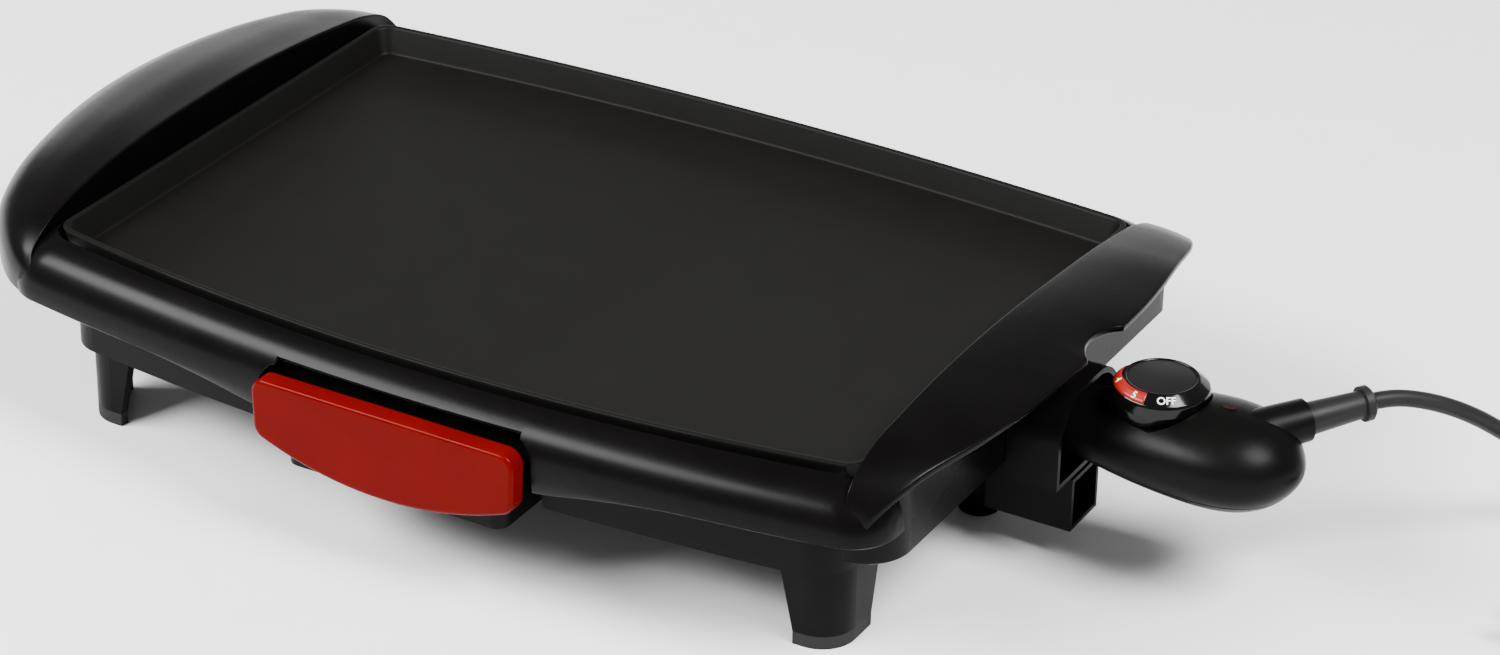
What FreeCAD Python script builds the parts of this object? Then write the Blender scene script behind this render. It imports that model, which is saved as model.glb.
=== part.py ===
import FreeCAD, Part
import math
import os

# Electric griddle: a cast cooking plate in a moulded housing on four legs, with a drip drawer
# at the front and a plug-in thermostat controller at the right, on its mains lead.
# Millimetres, +Z up, +X towards the controller, front at -Y.
# Everything is drawn from the middle of the cooking plate. The last step moves it all so that
# the origin is the bottom centre of the object's box, measured without the lead.

Vector = FreeCAD.Vector
X_AXIS = Vector(1, 0, 0)
Y_AXIS = Vector(0, 1, 0)
Z_AXIS = Vector(0, 0, 1)

ORIGIN_X = 37.31          # bottom centre of the box, from the middle of the plate
ORIGIN_Y = -8.85

# cooking plate, from its inner rim
PLATE_HALF_LENGTH = 200.0
PLATE_HALF_WIDTH = 125.0
FRONT_BOW = 20.0          # how far the front edge bulges past its corners
REAR_BOW = 10.0
RIM_TOP = 93.7
RIM_WIDTH = 2.5
PAN_DEPTH = 12.5
PAN_DRAFT = 4.0           # how far the pan's wall leans in by its floor
PLATE_THICKNESS = 4.0
PAN_RADIUS = 8.0
FLOOR_TOP = RIM_TOP - PAN_DEPTH
PLATE_BOTTOM = FLOOR_TOP - PLATE_THICKNESS
DRAIN_LENGTH = 30.0       # grease slot close behind the front rim
DRAIN_WIDTH = 7.0
DRAIN_Y = -133.0

# housing
WALL = 2.5
LIP_TOP = 90.7
RIM_GAP = 1.0             # gap between plate and housing
SKIRT_BOTTOM = 65.5
SKIRT_DIP = 58.5            # the lower edge beside the drawer
HANDLE_BOTTOM = 66.0
WING_THICKNESS = 3.0

# chassis and legs
CHASSIS_BOTTOM = 40.0
CHASSIS_HALF_LENGTH = 196.0
CHASSIS_FRONT = 132.9
CHASSIS_FRONT_BOW = 13.1
CHASSIS_REAR = 127.5
CHASSIS_REAR_BOW = 8.0
CHASSIS_RADIUS = 18.0
FLANGE_Z = 70.0
FOOT_HEIGHT = 6.0
LEG_X = (173.0, 194.0)    # an L-shaped leg at the ground, from its inner end to its outer side
LEG_Y = (97.0, 127.0)
LEG_WALL = 5.0
LEG_RADIUS = 16.0
LEG_SPREAD = 8.0            # how much longer each arm is at the top

# drip drawer
DRAWER_HALF_WIDTH = 55.0
DRAWER_BOTTOM = 36.5
DRAWER_TOP = 56.0
DRAWER_FRONT_Y = -165.0
DRAWER_REAR_Y = -22.0
DRAWER_WALL = 2.0
PANEL_HALF_WIDTH = 66.0
PANEL_TOP = 79.0

# controller and its socket, all on one line
LINE_Y = 3.0
PIN_Z = 64.5
PIN_SPACING = 11.0        # each side of the line
PIN_RADIUS = 2.0
PROBE_RADIUS = 3.0
SIDE_WALL_X = 218.0
HOOD_END_X = 243.0
SEAM_Z = 56.0
SEAM_WIDTH = 0.6           # groove round the shells where they meet
KNOB_X = 275.0
KNOB_RADIUS = 21.2
KNOB_BOTTOM = 79.6
KNOB_TOP = 95.0
SHELL_WALL = 2.2

# lead
CORD_RADIUS = 3.75
COIL_CENTRE = Vector(466, 106, 0)
COIL_INNER = 33.7
COIL_OUTER = 49.8
COIL_HEIGHT = 15.2
RELIEF_START = Vector(331.0, 26.0, 79.5)
RELIEF_END = Vector(350.0, 50.5, 81.8)
CORD_ROUTE = [
    (350.0, 50.5, 81.8), (356.2, 58.4, 82.5), (369.5, 72.0, 77.6), (382.0, 86.0, 68.5),
    (393.0, 100.0, 56.0), (401.0, 113.0, 43.5), (409.0, 125.5, 31.0), (418.0, 137.0, 19.5),
    (429.0, 146.0, 10.5), (442.0, 150.8, 5.2), (456.0, 151.6, 3.95), (466.0, 151.4, 3.9),
]
TAIL_ROUTE = [
    (509.5, 90.0, 11.3), (509.5, 74.0, 11.8), (509.0, 61.5, 13.2), (506.0, 49.5, 15.3),
    (496.5, 40.5, 17.0), (484.0, 37.0, 17.6),
]
PLUG_RADIUS = 17.0

parts = {}


# ---------------------------------------------------------------- helpers

def box(x0, x1, y0, y1, z0, z1):
    return Part.makeBox(x1 - x0, y1 - y0, z1 - z0, Vector(x0, y0, z0))


def rod(base, axis, radius, length):
    return Part.makeCylinder(radius, length, Vector(*base), axis)


def ring(base, axis, outer, inner, length):
    return rod(base, axis, outer, length).cut(rod(base, axis, inner, length))


def fuse(shapes):
    whole = shapes[0].fuse(shapes[1:]) if len(shapes) > 1 else shapes[0]
    return whole.removeSplitter()


def bowed_outline(half_x, half_front, bow_front, half_rear, bow_rear, radius, z):
    """A rectangle whose front and rear sides are arcs that bulge, with rounded corners."""
    edges = []
    corners = {}
    for side, half_y, bow in ((-1, half_front, bow_front), (1, half_rear, bow_rear)):
        big = (half_x ** 2 + bow ** 2) / (2.0 * bow)
        centre_y = side * (half_y + bow - big)
        round_x = half_x - radius
        round_y = centre_y + side * math.sqrt((big - radius) ** 2 - round_x ** 2)
        for hand in (-1, 1):
            centre = Vector(hand * round_x, round_y, z)
            out = (centre - Vector(0, centre_y, z)).normalize()
            on_arc = Vector(0, centre_y, z) + out * big
            on_side = Vector(hand * half_x, round_y, z)
            bisector = (out + Vector(hand, 0, 0)).normalize()
            corners[side, hand] = (on_side, centre + bisector * radius, on_arc)
        corners[side] = Vector(0, side * (half_y + bow), z)
    front_right, rear_right = corners[-1, 1], corners[1, 1]
    rear_left, front_left = corners[1, -1], corners[-1, -1]
    edges.append(Part.makeLine(front_right[0], rear_right[0]))
    edges.append(Part.Arc(*rear_right).toShape())
    edges.append(Part.Arc(rear_right[2], corners[1], rear_left[2]).toShape())
    edges.append(Part.Arc(rear_left[2], rear_left[1], rear_left[0]).toShape())
    edges.append(Part.makeLine(rear_left[0], front_left[0]))
    edges.append(Part.Arc(*front_left).toShape())
    edges.append(Part.Arc(front_left[2], corners[-1], front_right[2]).toShape())
    edges.append(Part.Arc(front_right[2], front_right[1], front_right[0]).toShape())
    return Part.Wire(edges)


def plate_outline(grow, z, radius=PAN_RADIUS):
    """The plate's inner rim, grown outwards."""
    return bowed_outline(PLATE_HALF_LENGTH + grow, PLATE_HALF_WIDTH + grow, FRONT_BOW,
                         PLATE_HALF_WIDTH + grow, REAR_BOW, radius, z)


def chassis_outline(inset, z):
    return bowed_outline(CHASSIS_HALF_LENGTH - inset, CHASSIS_FRONT - inset, CHASSIS_FRONT_BOW,
                         CHASSIS_REAR - inset, CHASSIS_REAR_BOW, CHASSIS_RADIUS - inset, z)


def prism(wire, height):
    return Part.Face(wire).extrude(Vector(0, 0, height))


def loft(wires, ruled=False):
    return Part.makeLoft(wires, True, ruled)


def rounded_rod(path, radius):
    """A round rod along straight runs, with the largest arc at each point its runs allow."""
    points = [Vector(*point) for point in path]
    edges = []
    start = points[0]
    for before, here, after in zip(points, points[1:], points[2:]):
        toward, away = (here - before), (after - here)
        half_turn = toward.getAngle(away) / 2.0
        reach = 0.45 * min(toward.Length, away.Length)
        first = here - toward.normalize() * reach
        last = here + away.normalize() * reach
        bend = reach / math.tan(half_turn)
        inward = (last + first) * 0.5 - here
        centre_gap = math.hypot(bend, reach)
        middle = here + inward.normalize() * (centre_gap - bend)
        edges.append(Part.LineSegment(start, first).toShape())
        edges.append(Part.Arc(first, middle, last).toShape())
        start = last
        print("bend radius %.1f" % bend)
    edges.append(Part.LineSegment(start, points[-1]).toShape())
    spine = Part.Wire(edges)
    section = Part.Wire(Part.makeCircle(radius, points[0], points[1] - points[0]))
    solid = spine.makePipeShell([section], True, True)
    print("rod volume against section times length: %.4f"
          % (solid.Volume / (math.pi * radius ** 2 * spine.Length)))
    return solid


def spin_profile(points, centre, axis=Z_AXIS):
    """A closed (radius, height) outline turned about a vertical axis, then laid along axis."""
    corners = [Vector(r, 0, h) for r, h in points]
    wire = Part.makePolygon(corners + corners[:1])
    solid = Part.Face(wire).revolve(Vector(0, 0, 0), Z_AXIS, 360)
    solid.Placement = FreeCAD.Placement(Vector(*centre), FreeCAD.Rotation(Z_AXIS, axis))
    return solid


def screw(head_centre, axis, head_radius, head_height, radius, length):
    """A pan head and a plain shank; axis points from the head to the tip."""
    head = rod(head_centre, axis, head_radius, head_height)
    shank_base = Vector(*head_centre) + axis * head_height
    shank = Part.makeCylinder(radius, length, shank_base, axis)
    slot = box(-head_radius, head_radius, -0.5, 0.5, -1.0, 0.8)
    slot.Placement = FreeCAD.Placement(Vector(*head_centre), FreeCAD.Rotation(Z_AXIS, axis))
    return head.fuse(shank).removeSplitter().cut(slot)


def bow_y(half_x, half_y, bow, x):
    """How far out a bowed side is at x."""
    big = (half_x ** 2 + bow ** 2) / (2.0 * bow)
    return half_y + bow - big + math.sqrt(big ** 2 - x ** 2)


# ---------------------------------------------------------------- cooking plate and heater

POST_POINTS = [(x, y) for x in (-150.0, 150.0) for y in (-95.0, 95.0)]
POST_RADIUS = 6.0
ELEMENT_RADIUS = 4.0
ELEMENT_Z = PLATE_BOTTOM - ELEMENT_RADIUS - 0.2
BLOCK_X = (203.0, 212.0)


def cooking_plate():
    body = loft([plate_outline(RIM_WIDTH - PAN_DRAFT, PLATE_BOTTOM, 7.0),
                 plate_outline(RIM_WIDTH, RIM_TOP, 10.0)], True)
    pan = loft([plate_outline(-PAN_DRAFT, FLOOR_TOP, 5.0),
                plate_outline(0.0, RIM_TOP, PAN_RADIUS),
                plate_outline(0.3, RIM_TOP + 1.0, PAN_RADIUS)], True)
    body = body.cut(pan)
    bosses = [rod((x, y, PLATE_BOTTOM - 5.0), Z_AXIS, POST_RADIUS, 5.5) for x, y in POST_POINTS]
    body = fuse([body] + bosses)
    half = (DRAIN_LENGTH - DRAIN_WIDTH) / 2.0
    slot = box(-half, half, DRAIN_Y - DRAIN_WIDTH / 2, DRAIN_Y + DRAIN_WIDTH / 2,
               PLATE_BOTTOM - 1, FLOOR_TOP + 1)
    ends = [rod((x, DRAIN_Y, PLATE_BOTTOM - 1), Z_AXIS, DRAIN_WIDTH / 2, PLATE_THICKNESS + 2)
            for x in (-half, half)]
    body = body.cut(fuse([slot] + ends))
    for x, y in POST_POINTS:
        body = body.cut(rod((x, y, PLATE_BOTTOM - 5.0), Z_AXIS, 1.8, 7.0))
    return body


def heating_element():
    low, high = LINE_Y - PIN_SPACING, LINE_Y + PIN_SPACING
    return rounded_rod([
        (BLOCK_X[0], low, PIN_Z), (191.0, low, PIN_Z), (176.0, low - 9, ELEMENT_Z - 2),
        (164.0, low - 32, ELEMENT_Z), (150.0, -70.0, ELEMENT_Z), (110.0, -78.0, ELEMENT_Z),
        (-130.0, -79.0, ELEMENT_Z), (-172.0, -45.0, ELEMENT_Z), (-173.0, 40.0, ELEMENT_Z),
        (-130.0, 79.0, ELEMENT_Z), (110.0, 78.0, ELEMENT_Z), (150.0, 70.0, ELEMENT_Z),
        (164.0, high + 32, ELEMENT_Z), (176.0, high + 9, ELEMENT_Z - 2), (191.0, high, PIN_Z),
        (BLOCK_X[0], high, PIN_Z)], ELEMENT_RADIUS)


def element_clamps():
    """Straps that hold the element up against the plate."""
    straps = []
    for x in (-60.0, 40.0):
        for y in (-79.0, 78.5):
            foot = box(x - 6, x + 6, y - 15, y + 15, ELEMENT_Z - 6.0, ELEMENT_Z - 4.6)
            risers = [box(x - 6, x + 6, y + s * 13.6 - 1.4 / 2, y + s * 13.6 + 1.4 / 2,
                          ELEMENT_Z - 6.0, PLATE_BOTTOM) for s in (-1, 1)]
            straps.append(fuse([foot] + risers))
    return Part.makeCompound(straps)


def terminal_block():
    block = box(BLOCK_X[0], BLOCK_X[1], LINE_Y - 18, LINE_Y + 18, PIN_Z - 7.5, PIN_Z + 7.5)
    for side in (-1, 1):
        block = block.cut(rod((200, LINE_Y + side * PIN_SPACING, PIN_Z), X_AXIS, PIN_RADIUS + 0.05, 20))
    return block.cut(rod((200, LINE_Y, PIN_Z), X_AXIS, PROBE_RADIUS + 1.65, 20))


def terminal_pins():
    pins = []
    for side in (-1, 1):
        pin = rod((BLOCK_X[0], LINE_Y + side * PIN_SPACING, PIN_Z), X_AXIS, PIN_RADIUS, 35.0)
        tip = rod((BLOCK_X[0] + 35.0, LINE_Y + side * PIN_SPACING, PIN_Z), X_AXIS, PIN_RADIUS - 0.5, 1.5)
        pins.append(pin.fuse(tip).removeSplitter())
    return Part.makeCompound(pins)


def probe_sleeve():
    """A tube under the plate that the probe slides into, on a tab up to the plate."""
    tube = rod((178, LINE_Y, PIN_Z), X_AXIS, PROBE_RADIUS + 1.6, 35.0)
    tab = box(179, 187, LINE_Y - 3, LINE_Y + 3, PIN_Z, PLATE_BOTTOM)
    return fuse([tube, tab]).cut(rod((180, LINE_Y, PIN_Z), X_AXIS, PROBE_RADIUS + 0.4, 40.0))


REFLECTOR_Z = 59.0
REFLECTOR_OUTLINE = (-188.0, 172.0, -118.0, 118.0)


def heat_reflector():
    x0, x1, y0, y1 = REFLECTOR_OUTLINE
    pan = box(x0, x1, y0, y1, REFLECTOR_Z, REFLECTOR_Z + 6)
    pan = pan.cut(box(x0 + 0.8, x1 - 0.8, y0 + 0.8, y1 - 0.8, REFLECTOR_Z + 0.8, REFLECTOR_Z + 7))
    for x, y in POST_POINTS:
        pan = pan.cut(rod((x, y, REFLECTOR_Z - 1), Z_AXIS, POST_RADIUS + 1.0, 4))
    return pan


# ---------------------------------------------------------------- housing

SKIRT_SECTIONS = [(SKIRT_DIP, 18.8), (62.0, 20.0), (68.0, 20.8), (75.0, 19.8), (81.0, 17.5), (86.0, 13.5),
                  (89.3, 8.5), (LIP_TOP, 4.6)]
CAVITY_SECTIONS = [(SKIRT_DIP - 1.0, 16.2), (62.0, 17.4), (68.0, 18.2), (75.0, 17.1), (81.0, 14.6),
                   (85.0, 10.8), (87.4, 6.0)]
CORNER_RADIUS = 22.0
HANDLE_STATIONS = [
    # y, crest x, crest z, outer x
    (-145.5, -204.0, 79.0, -210.0), (-139.5, -207.0, 85.5, -221.5), (-129.0, -207.6, 92.5, -234.5),
    (-112.0, -208.0, 98.2, -249.0), (-88.0, -208.4, 102.7, -261.0), (-52.0, -209.0, 105.9, -271.5),
    (-12.0, -209.6, 106.5, -279.0), (30.0, -210.0, 105.8, -280.5), (68.0, -209.4, 103.5, -277.0),
    (100.0, -208.6, 100.6, -269.0), (124.0, -208.0, 97.0, -258.0), (137.0, -207.6, 92.5, -247.0),
    (144.0, -206.0, 86.0, -231.0), (148.0, -204.0, 78.5, -211.0)]
WING_STATIONS = [
    # y, crest z, outer x, outer z
    (-144.0, 80.0, 209.0, 70.0), (-138.5, 91.0, 217.3, 83.0), (-122.0, 100.3, 227.0, 94.0),
    (-92.0, 104.7, 239.0, 100.0), (-45.0, 107.2, 246.5, 102.2), (3.0, 106.4, 247.8, 102.4),
    (50.0, 103.2, 246.6, 101.3), (95.0, 98.7, 240.0, 98.0), (128.0, 92.6, 232.0, 91.0),
    (143.0, 86.0, 222.0, 83.0), (147.0, 81.0, 214.0, 75.0)]
WING_CREST_X = 203.6
WING_WALL_LOW = 82.0


def skirt_solid(sections):
    return loft([plate_outline(grow, z, CORNER_RADIUS) for z, grow in sections])


def handle_section(y, crest_x, crest_z, outer_x, inset):
    """The handle cut across: inner wall, broad domed top from the crest, round outer side."""
    width = crest_x - outer_x - 2 * inset
    crest = Vector(crest_x - inset, y, crest_z - inset * 1.1)
    low = HANDLE_BOTTOM - (1.0 if inset else 0.0)
    side = Vector(outer_x + inset, y, 0)
    rise = crest.z - low
    top = Part.BSplineCurve()
    top.interpolate([
        Vector(side.x + 0.03 * width, y, low),
        Vector(side.x, y, low + 0.30 * rise),
        Vector(side.x + 0.05 * width, y, low + 0.57 * rise),
        Vector(side.x + 0.22 * width, y, low + 0.78 * rise),
        Vector(side.x + 0.55 * width, y, low + 0.93 * rise),
        crest])
    start, end = top.StartPoint, top.EndPoint
    foot = Vector(crest.x, y, low)
    return Part.Wire([Part.makeLine(foot, start), top.toShape(), Part.makeLine(end, foot)])


def handle_solid(inset=0.0):
    stations = HANDLE_STATIONS if not inset else HANDLE_STATIONS[2:-2]
    return loft([handle_section(*station, inset) for station in stations])


def wing_solid():
    """The right-hand wing: a thick curved sheet between its crest and its outer edge."""
    wires = []
    for y, crest_z, outer_x, outer_z in WING_STATIONS:
        low = min(WING_WALL_LOW, crest_z - 8.0)
        wires.append(Part.makePolygon([
            Vector(WING_CREST_X, y, crest_z), Vector(outer_x, y, outer_z),
            Vector(outer_x, y, outer_z - WING_THICKNESS), Vector(WING_CREST_X + WALL, y, crest_z - 4.0),
            Vector(WING_CREST_X + WALL, y, low), Vector(WING_CREST_X, y, low),
            Vector(WING_CREST_X, y, crest_z)]))
    return loft(wires)


def under_wing_solid():
    """All the space below the wing's top face."""
    wires = []
    for y, crest_z, outer_x, outer_z in WING_STATIONS:
        wires.append(Part.makePolygon([
            Vector(190.0, y, crest_z - 1.0), Vector(WING_CREST_X, y, crest_z - 1.0),
            Vector(outer_x, y, outer_z - 1.0), Vector(outer_x, y, 45.0), Vector(190.0, y, 45.0),
            Vector(190.0, y, crest_z - 1.0)]))
    return loft(wires)


def side_wall():
    """The upright wall under the wing, rounded at its front corner, with an inner rib to the lip."""
    outer = box(196.0, SIDE_WALL_X, -131.0, 136.0, 50.0, 108.0)
    upright = [edge for edge in outer.Edges if abs(edge.tangentAt(edge.FirstParameter).z) > 0.9
               and edge.CenterOfMass.x > 210]
    front = [edge for edge in upright if edge.CenterOfMass.y < 0]
    rear = [edge for edge in upright if edge.CenterOfMass.y > 0]
    outer = outer.makeFillet(20.0, front).makeFillet(5.0, rear)
    inner = box(195.0, SIDE_WALL_X - WALL, -131.0 + WALL, 136.0 - WALL, 49.0, 109.0)
    upright = [edge for edge in inner.Edges if abs(edge.tangentAt(edge.FirstParameter).z) > 0.9
               and edge.CenterOfMass.x > 210 and edge.CenterOfMass.y < 0]
    wall = outer.cut(inner.makeFillet(20.0 - WALL, upright))
    wall = wall.cut(box(190.0, 203.8, -140, 140, 45, 110))
    window = box(200.0, 225.0, LINE_Y - 19, LINE_Y + 19, PIN_Z - 8.5, PIN_Z + 8.5)
    return wall.cut(window).common(under_wing_solid())


SCALLOP_DEEPEST_X = 240.8   # the bite out of the wing's edge beside the knob
SCALLOP_Y = 5.0
SCALLOP_RADIUS = 25.0
BOSS_POINTS = [(-110.0, -1), (110.0, -1), (-110.0, 1), (110.0, 1)]


def boss_y(x, side):
    bow = FRONT_BOW if side < 0 else REAR_BOW
    return side * (bow_y(PLATE_HALF_LENGTH, PLATE_HALF_WIDTH, bow, x) + 9.5)


def below_edge():
    """The space under the skirt's lower edge, which dips beside the drawer."""
    edge = Part.BSplineCurve()
    edge.interpolate([Vector(x, -200.0, z) for x, z in (
        (-240.0, SKIRT_BOTTOM), (-170.0, SKIRT_BOTTOM), (-120.0, SKIRT_BOTTOM - 0.7), (-95.0, SKIRT_DIP + 4.0),
        (-72.0, SKIRT_DIP), (0.0, SKIRT_DIP), (72.0, SKIRT_DIP), (95.0, SKIRT_DIP + 4.0),
        (120.0, SKIRT_BOTTOM - 0.2), (170.0, SKIRT_BOTTOM + 1.0), (240.0, SKIRT_BOTTOM + 1.3))])
    start, end = edge.StartPoint, edge.EndPoint
    low_left, low_right = Vector(start.x, -200.0, 40.0), Vector(end.x, -200.0, 40.0)
    face = Part.Face(Part.Wire([edge.toShape(), Part.makeLine(end, low_right),
                                Part.makeLine(low_right, low_left), Part.makeLine(low_left, start)]))
    front = face.extrude(Vector(0, 110.0, 0))
    return front.fuse(box(-240.0, 240.0, -91.0, 200.0, 40.0, SKIRT_BOTTOM))


def upper_housing():
    plate_hole = prism(plate_outline(RIM_WIDTH + RIM_GAP, 55.0, 11.0), 60.0)
    body = skirt_solid(SKIRT_SECTIONS).cut(skirt_solid(CAVITY_SECTIONS))
    body = body.cut(below_edge())
    body = body.cut(box(206.5, 230.0, -122.0, 127.0, 55.0, 95.0))
    body = body.fuse(handle_solid().cut(handle_solid(3.0)))
    body = body.fuse(wing_solid())
    body = body.cut(plate_hole)
    body = body.fuse(side_wall())
    body = body.cut(rod((SCALLOP_DEEPEST_X + SCALLOP_RADIUS, SCALLOP_Y, 85.0), Z_AXIS, SCALLOP_RADIUS, 25.0))
    bosses = [rod((x, boss_y(x, side), FLANGE_Z + WALL), Z_AXIS, 4.0, 14.5) for x, side in BOSS_POINTS]
    body = body.fuse(bosses)
    for x, side in BOSS_POINTS:
        body = body.cut(rod((x, boss_y(x, side), FLANGE_Z), Z_AXIS, 1.55, 14.0))
    opening = box(-PANEL_HALF_WIDTH - 2.5, PANEL_HALF_WIDTH + 2.5, -200.0, -150.0, 50.0, PANEL_TOP + 2.0)
    roof = [edge for edge in opening.Edges if abs(edge.tangentAt(edge.FirstParameter).y) > 0.9
            and edge.CenterOfMass.z > 60]
    body = body.cut(opening.makeFillet(11.0, roof))
    return body.removeSplitter()


# ---------------------------------------------------------------- chassis, feet, socket hood

def leg_outline(hand, side, z, spread, wall):
    """An L round the corner of the chassis, closed; spread lengthens both of its arms."""
    x0, x1 = LEG_X[0] - spread, LEG_X[1]
    y0, y1 = LEG_Y[0] - spread, LEG_Y[1]
    inner_radius = LEG_RADIUS - wall
    bend_x, bend_y = x1 - LEG_RADIUS, y1 - LEG_RADIUS
    lean = math.sqrt(0.5)

    def at(x, y):
        return Vector(hand * x, side * y, z)

    outer = [at(x0, y1), at(bend_x, y1), at(bend_x + LEG_RADIUS * lean, bend_y + LEG_RADIUS * lean),
             at(x1, bend_y), at(x1, y0)]
    inner = [at(x1 - wall, y0), at(x1 - wall, bend_y),
             at(bend_x + inner_radius * lean, bend_y + inner_radius * lean),
             at(bend_x, y1 - wall), at(x0, y1 - wall)]
    return Part.Wire([
        Part.makeLine(outer[0], outer[1]), Part.Arc(*outer[1:4]).toShape(), Part.makeLine(outer[3], outer[4]),
        Part.makeLine(outer[4], inner[0]), Part.makeLine(inner[0], inner[1]), Part.Arc(*inner[1:4]).toShape(),
        Part.makeLine(inner[3], inner[4]), Part.makeLine(inner[4], outer[0])])


def leg(hand, side):
    """A corner leg, an L-shaped wall that widens where it joins the chassis."""
    return loft([leg_outline(hand, side, FOOT_HEIGHT, 0.0, LEG_WALL),
                 leg_outline(hand, side, CHASSIS_BOTTOM + 2.0, LEG_SPREAD, LEG_WALL)], True)


def foot_pads():
    pads = [prism(leg_outline(hand, side, 0.0, 0.0, LEG_WALL), FOOT_HEIGHT)
            for hand in (-1, 1) for side in (-1, 1)]
    return Part.makeCompound(pads)


RAIL_X = (56.0, 58.5)
CENTRE_FOOT = (188.5, 12.5)


def lower_chassis():
    walls = prism(chassis_outline(0.0, CHASSIS_BOTTOM), FLANGE_Z + WALL - CHASSIS_BOTTOM)
    walls = walls.cut(prism(chassis_outline(WALL, CHASSIS_BOTTOM + WALL), 40.0))
    flange = prism(plate_outline(15.5, FLANGE_Z, 20.0), WALL)
    flange = flange.cut(prism(chassis_outline(WALL, FLANGE_Z - 1), 10.0))
    flange = flange.cut(box(190.0, 240.0, -140.0, 145.0, 60.0, 80.0))
    flange = flange.cut(box(-240.0, -205.0, -160.0, 160.0, 60.0, 80.0))
    pieces = [walls, flange]
    for hand in (-1, 1):
        rail = (hand * RAIL_X[0], hand * RAIL_X[1])
        pieces.append(box(min(rail), max(rail), -144.0, -16.0, CHASSIS_BOTTOM, DRAWER_TOP - 2.3))
        for side in (-1, 1):
            pieces.append(leg(hand, side))
    for x, y in POST_POINTS:
        pieces.append(rod((x, y, CHASSIS_BOTTOM), Z_AXIS, POST_RADIUS, PLATE_BOTTOM - 5.0 - CHASSIS_BOTTOM))
    body = fuse(pieces)
    body = body.cut(box(-RAIL_X[0], RAIL_X[0], -170.0, -19.0, 30.0, 59.0))
    body = body.cut(box(-62.0, 62.0, -170.0, -137.0, 30.0, 61.0))
    body = body.cut(box(190.0, 215.0, LINE_Y - 19, LINE_Y + 19, PIN_Z - 8.5, 90.0))
    for x, y in POST_POINTS:
        body = body.cut(rod((x, y, 30.0), Z_AXIS, 2.1, 60.0))
        body = body.cut(rod((x, y, 30.0), Z_AXIS, 4.2, 13.5))
    for x, side in BOSS_POINTS:
        body = body.cut(rod((x, boss_y(x, side), 60.0), Z_AXIS, 1.8, 20.0))
    for row in range(-3, 4):
        body = body.cut(box(90.0 + row * 8, 93.0 + row * 8, -60, 60, 30, 45))
        body = body.cut(box(-93.0 - row * 8, -90.0 - row * 8, -60, 60, 30, 45))
    return body


def centre_foot():
    """A short post under the chassis beside the socket, which stands on the table."""
    x, y = CENTRE_FOOT
    low = rod((x, y, 0.0), Z_AXIS, 9.0, 1.5)
    post = Part.makeCone(9.5, 13.0, CHASSIS_BOTTOM - 1.5, Vector(x, y, 1.5), Z_AXIS)
    return fuse([low, post])


def socket_hood():
    """The hood round the pins, open at its outer end, with the box-shaped guide under it."""
    guide = box(SIDE_WALL_X - 16.0, HOOD_END_X, LINE_Y - 13.0, LINE_Y + 13.0, 15.5, 41.0)
    guide_inside = box(SIDE_WALL_X - 14.0, HOOD_END_X + 1, LINE_Y - 11.0, LINE_Y + 11.0, 17.5, 39.0)
    base = SIDE_WALL_X + 0.3
    outer = hood_shape(base, 29.0, 84.0, 43.0)
    inner = hood_shape(base + WALL, 26.6, 81.6, 45.4)
    link = box(base, HOOD_END_X - 4.0, LINE_Y - 18.0, LINE_Y + 18.0, 40.0, 43.5)
    body = fuse([outer.cut(inner), guide, link]).cut(guide_inside)
    return body.cut(box(210.0, 225.0, LINE_Y - 17, LINE_Y + 17, PIN_Z - 8.0, PIN_Z + 8.0))


def hood_shape(x0, half_width, top, bottom):
    block = box(x0, HOOD_END_X + (0 if bottom < 45 else 1), LINE_Y - half_width, LINE_Y + half_width,
                bottom, top)
    along = [edge for edge in block.Edges if abs(edge.tangentAt(edge.FirstParameter).x) > 0.9
             and edge.CenterOfMass.z > 60]
    return block.makeFillet(half_width * 0.7, along)


# ---------------------------------------------------------------- drip drawer

def drip_tray():
    outer = box(-DRAWER_HALF_WIDTH, DRAWER_HALF_WIDTH, DRAWER_FRONT_Y, DRAWER_REAR_Y,
                DRAWER_BOTTOM, DRAWER_TOP)
    rounded = [edge for edge in outer.Edges if abs(edge.tangentAt(edge.FirstParameter).z) > 0.9]
    outer = outer.makeFillet(6.0, rounded)
    runner = box(-RAIL_X[1] - 0.5, RAIL_X[1] + 0.5, -140.0, DRAWER_REAR_Y - 6.0,
                 DRAWER_TOP - 2.0, DRAWER_TOP)
    inner = box(-DRAWER_HALF_WIDTH + DRAWER_WALL, DRAWER_HALF_WIDTH - DRAWER_WALL,
                DRAWER_FRONT_Y + DRAWER_WALL + 0.5, DRAWER_REAR_Y - DRAWER_WALL,
                DRAWER_BOTTOM + DRAWER_WALL, DRAWER_TOP + 1)
    rounded = [edge for edge in inner.Edges if abs(edge.tangentAt(edge.FirstParameter).z) > 0.9]
    inner = inner.makeFillet(4.0, rounded)
    body = fuse([outer, runner]).cut(inner)
    for x in (-35.0, 35.0):
        body = body.cut(rod((x, DRAWER_FRONT_Y - 1, 48.0), Y_AXIS, 1.7, 5.0))
    return body


PANEL_BACK_Y = DRAWER_FRONT_Y
PANEL_FACE_Y = -173.5


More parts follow.
